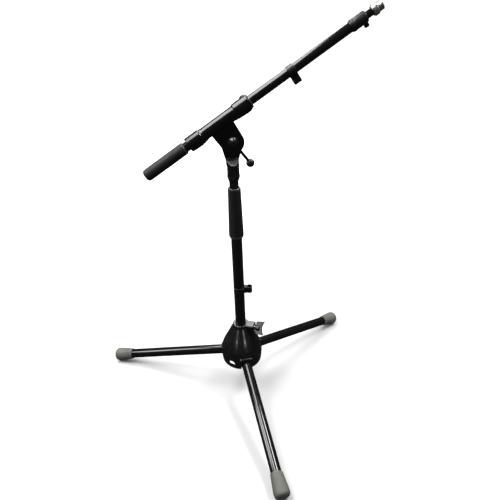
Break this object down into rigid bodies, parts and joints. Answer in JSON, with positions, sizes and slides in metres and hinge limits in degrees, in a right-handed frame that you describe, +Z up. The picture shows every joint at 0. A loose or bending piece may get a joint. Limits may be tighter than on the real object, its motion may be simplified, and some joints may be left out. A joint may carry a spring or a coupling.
{
  "type": "boom microphone stand",
  "caption": "Low tripod microphone stand with a bell-shaped base, folding legs, twist-clutch post and a tilting telescopic boom with a threaded tip.",
  "frame": {"origin": "on the floor, in the middle of the stand's bounding box seen from above", "axes": "+Z up along the post, +X to the side the boom leans to, -Y to the front leg"},
  "size_m": [0.5253, 0.4921, 0.7212],
  "materials": {
    "bright_steel": "bright nickel plate",
    "bronze": "plain brass",
    "cast_black": "glossy black paint on die-cast zinc",
    "plastic_black": "satin black moulded plastic",
    "rubber_grey": "matte olive grey rubber",
    "soft_grey": "matte dark grey soft grip",
    "steel": "plated steel",
    "trim_grey": "light grey trim",
    "tube_black": "glossy black powder coat on steel tube"
  },
  "bodies": {
    "base": {"base_casting": "cast_black", "base_clamp_pad": "bronze", "leg_front_pin": "steel", "leg_right_pin": "steel", "leg_left_pin": "steel"},
    "base_screw": {"base_screw_shank": "steel", "base_screw_wing": "cast_black"},
    "leg_front": {"leg_front_tube": "tube_black", "leg_front_knuckle": "plastic_black", "leg_front_foot": "rubber_grey"},
    "leg_right": {"leg_right_tube": "tube_black", "leg_right_knuckle": "plastic_black", "leg_right_foot": "rubber_grey"},
    "leg_left": {"leg_left_tube": "tube_black", "leg_left_knuckle": "plastic_black", "leg_left_foot": "rubber_grey"},
    "lower_post": {"post_lower_tube": "tube_black", "post_tube_plug": "plastic_black", "clutch_collet": "plastic_black"},
    "post_clip": {"post_cable_clip": "plastic_black"},
    "twist_sleeve": {"clutch_body": "plastic_black", "clutch_sleeve": "soft_grey", "clutch_top_ring": "trim_grey", "clutch_bottom_ring": "trim_grey"},
    "inner_rod": {"post_inner_rod": "tube_black", "post_rod_guide": "plastic_black", "post_rod_stud": "steel", "swivel_lock_ring": "cast_black"},
    "swivel": {"swivel_column": "cast_black", "pivot_bolt": "cast_black", "pivot_friction_washer": "bronze"},
    "lever": {"lever_hub": "cast_black", "lever_rod": "cast_black", "lever_ball": "plastic_black"},
    "holder": {"boom_holder": "cast_black", "holder_front_bush": "trim_grey", "holder_rear_bush": "plastic_black", "holder_clamp_shoe": "bronze"},
    "holder_screw": {"holder_screw_shank": "steel", "holder_knob": "plastic_black"},
    "boom": {"boom_tube": "tube_black", "boom_grip": "soft_grey", "boom_grip_ring": "trim_grey", "boom_clutch_ring": "plastic_black", "boom_clutch_body": "plastic_black"},
    "boom_clip": {"boom_cable_clip": "plastic_black"},
    "boom_screw": {"boom_clutch_screw": "plastic_black"},
    "extension": {"boom_inner_tube": "tube_black", "boom_inner_guide": "plastic_black", "boom_thread_tip": "bright_steel"},
    "lock_nut": {"boom_lock_nut": "bright_steel"}
  },
  "joints": [
    {"name": "leg_front_fold", "type": "hinge", "parent": "base", "child": "leg_front", "pos_m": [0.02366, 0.01898, 0.0828], "axis": [0.9823, 0.1874, 0], "range_deg": [0, 75]},
    {"name": "leg_right_fold", "type": "hinge", "parent": "base", "child": "leg_right", "pos_m": [0.03904, 0.06314, 0.0828], "axis": [-0.6534, 0.757, 0], "range_deg": [0, 75]},
    {"name": "leg_left_fold", "type": "hinge", "parent": "base", "child": "leg_left", "pos_m": [-0.0069, 0.05438, 0.0828], "axis": [-0.3289, -0.9444, 0], "range_deg": [0, 75]},
    {"name": "base_screw_turn", "type": "hinge", "parent": "base", "child": "base_screw", "pos_m": [0.0186, 0.0455, 0.1462], "axis": [0.9511, -0.309, 0], "range_deg": [0, 360]},
    {"name": "post_slide", "type": "slide", "parent": "base", "child": "lower_post", "axis": [0, 0, 1], "range_m": [-0.055, 0.003]},
    {"name": "post_clip_slide", "type": "slide", "parent": "lower_post", "child": "post_clip", "axis": [0, 0, 1], "range_m": [-0.012, 0.1]},
    {"name": "sleeve_twist", "type": "hinge", "parent": "lower_post", "child": "twist_sleeve", "pos_m": [0.0186, 0.0455, 0.393], "axis": [0, 0, 1], "range_deg": [0, 90]},
    {"name": "rod_slide", "type": "slide", "parent": "lower_post", "child": "inner_rod", "axis": [0, 0, 1], "range_m": [-0.0122, 0.22]},
    {"name": "swivel_turn", "type": "hinge", "parent": "inner_rod", "child": "swivel", "pos_m": [0.0186, 0.0455, 0.4593], "axis": [0, 0, 1], "continuous": true},
    {"name": "lever_turn", "type": "hinge", "parent": "swivel", "child": "lever", "pos_m": [0.0186, 0.0455, 0.5208], "axis": [-0.1736, 0.9848, 0], "range_deg": [0, 120]},
    {"name": "boom_tilt", "type": "hinge", "parent": "swivel", "child": "holder", "pos_m": [0.0186, 0.0455, 0.5208], "axis": [0.1736, -0.9848, 0], "range_deg": [-85, 58]},
    {"name": "holder_knob_turn", "type": "hinge", "parent": "holder", "child": "holder_screw", "pos_m": [0.04474, 0.04508, 0.58239], "axis": [-0.1736, 0.9848, 0], "range_deg": [0, 360]},
    {"name": "boom_slide", "type": "slide", "parent": "holder", "child": "boom", "axis": [0.8406, 0.1482, 0.521], "range_m": [-0.07, 0.006]},
    {"name": "boom_clip_slide", "type": "slide", "parent": "boom", "child": "boom_clip", "axis": [0.8406, 0.1482, 0.521], "range_m": [-0.002, 0.1]},
    {"name": "boom_screw_turn", "type": "hinge", "parent": "boom", "child": "boom_screw", "pos_m": [0.22967, 0.07769, 0.69702], "axis": [0.5131, 0.0905, -0.8536], "range_deg": [0, 360]},
    {"name": "extension_slide", "type": "slide", "parent": "boom", "child": "extension", "axis": [0.8406, 0.1482, 0.521], "range_m": [-0.0112, 0.28]},
    {"name": "lock_nut_turn", "type": "hinge", "parent": "extension", "child": "lock_nut", "pos_m": [-0.00065, 0.03708, 0.55426], "axis": [0.8406, 0.1482, 0.521], "range_deg": [0, 360]}
  ]
}
